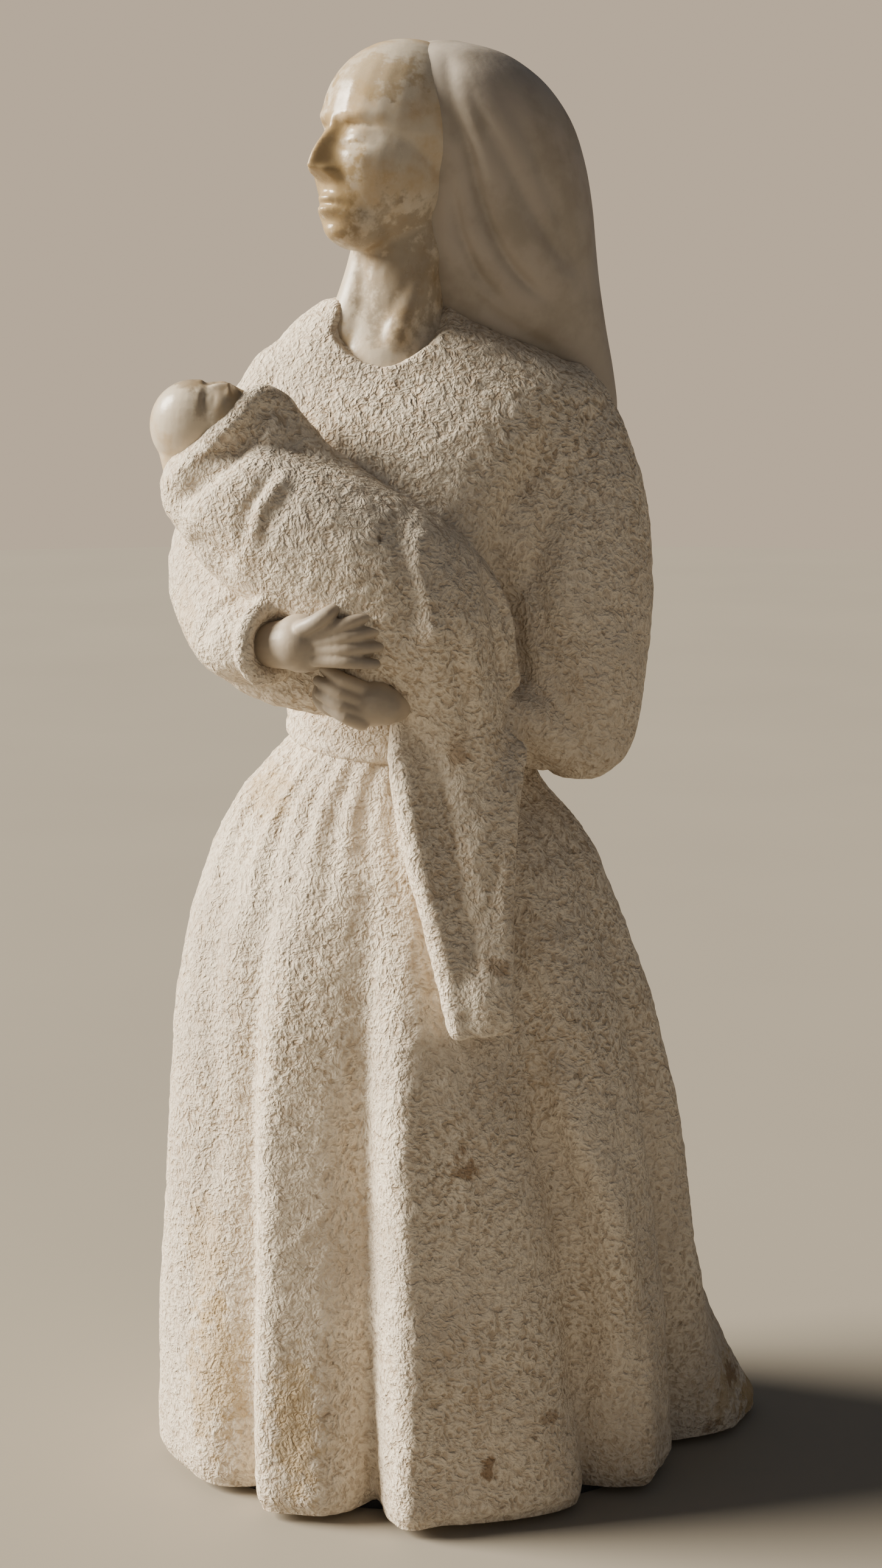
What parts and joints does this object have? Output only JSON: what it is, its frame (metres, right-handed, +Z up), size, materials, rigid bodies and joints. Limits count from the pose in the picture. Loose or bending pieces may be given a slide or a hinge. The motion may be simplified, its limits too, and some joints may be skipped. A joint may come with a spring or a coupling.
{
  "type": "mother and child sculpture",
  "caption": "Carved white stone figure of a standing mother in a long full skirt who holds a swaddled child in both arms, on a thin dark pad.",
  "frame": {"origin": "middle of the underside of the pad, at floor level, under the skirt's axis", "axes": "+Z up the figure, -Y the way the figure's chest faces, +X to the figure's left, where the skirt's train trails"},
  "size_m": [0.2847, 0.2072, 0.643],
  "materials": {
    "carved_stone": "white stone, chisel-marked on the clothes and polished on the faces, hair and hands",
    "dark_pad": "matt black"
  },
  "bodies": {
    "root": {"mother_and_child": "carved_stone", "base_pad": "dark_pad"}
  },
  "joints": []
}
